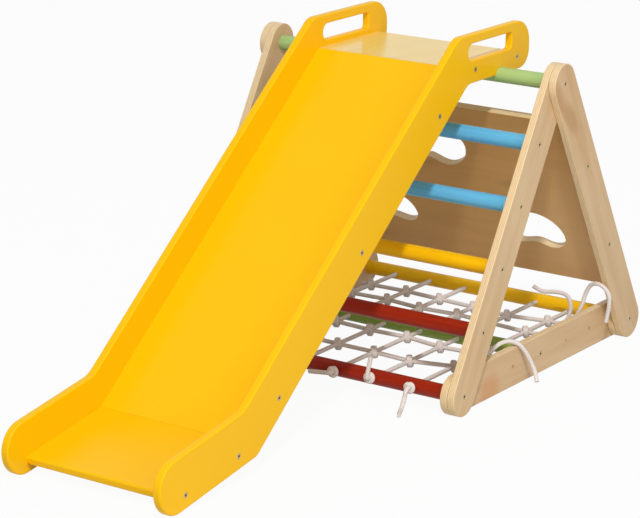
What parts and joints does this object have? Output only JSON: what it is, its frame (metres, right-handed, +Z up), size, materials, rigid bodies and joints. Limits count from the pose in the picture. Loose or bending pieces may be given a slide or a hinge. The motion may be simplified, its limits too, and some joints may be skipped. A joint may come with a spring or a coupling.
{
  "type": "climbing frame with slide",
  "caption": "Low plywood climbing triangle with coloured rungs, a knotted rope net, a climbing board with hand-holds and a hook-on slide.",
  "frame": {"origin": "on the floor, centred between the slide's nose and the rear feet and between the two side frames", "axes": "+X to the right seen from the slide's foot, -Y from the frame towards the slide's foot, +Z up from the floor"},
  "size_m": [0.804, 1.6524, 0.7824],
  "materials": {
    "ply": "satin clear varnish on birch plywood",
    "birch": "satin clear varnish on birch plywood",
    "green_paint": "satin paint on a round wooden bar",
    "blue_paint": "satin paint on a round wooden bar",
    "yellow_paint": "satin paint on a round wooden bar",
    "red_paint": "satin paint on a round wooden bar",
    "slide_yellow": "satin paint on plywood",
    "steel": "zinc",
    "rope": "soft braided fibre rope"
  },
  "bodies": {
    "frame": {"board_bolts": "steel", "climbing_board": "ply", "corner_bolts": "steel", "cross_rope_1": "rope", "cross_rope_2": "rope", "cross_rope_3": "rope", "cross_rope_4": "rope", "first_tail": "rope", "front_tail": "rope", "front_yellow_rung": "yellow_paint", "left_beam": "ply", "left_front_leg": "ply", "left_rear_leg": "ply", "left_rear_spacer": "ply", "long_rope_1": "rope", "long_rope_2": "rope", "long_rope_3": "rope", "long_rope_4": "rope", "long_rope_5": "rope", "long_rope_6": "rope", "lower_blue_rung": "blue_paint", "lower_red_rung": "red_paint", "middle_green_rung": "green_paint", "middle_rung_bolts": "steel", "rear_foot_bolts": "steel", "rear_yellow_rung": "yellow_paint", "right_beam": "ply", "right_front_leg": "ply", "right_rear_leg": "ply", "right_rear_spacer": "ply", "rung_bolts": "steel", "second_tail": "rope", "third_tail": "rope", "upper_blue_rung": "blue_paint", "upper_red_rung": "red_paint"},
    "top_rung": {"top_rung": "green_paint"},
    "slide": {"slide_bed": "slide_yellow", "slide_bolts": "steel", "slide_deck": "birch", "slide_left_panel": "slide_yellow", "slide_platform": "slide_yellow", "slide_right_panel": "slide_yellow"}
  },
  "joints": [
    {"name": "slide_tilt", "type": "hinge", "parent": "frame", "child": "top_rung", "pos_m": [0, 0.41867, 0.67287], "axis": [-1, 0, 0], "range_deg": [0, 30]},
    {"name": "slide_lift", "type": "slide", "parent": "top_rung", "child": "slide", "axis": [0, 0, 1], "range_m": [0, 0.25]}
  ]
}
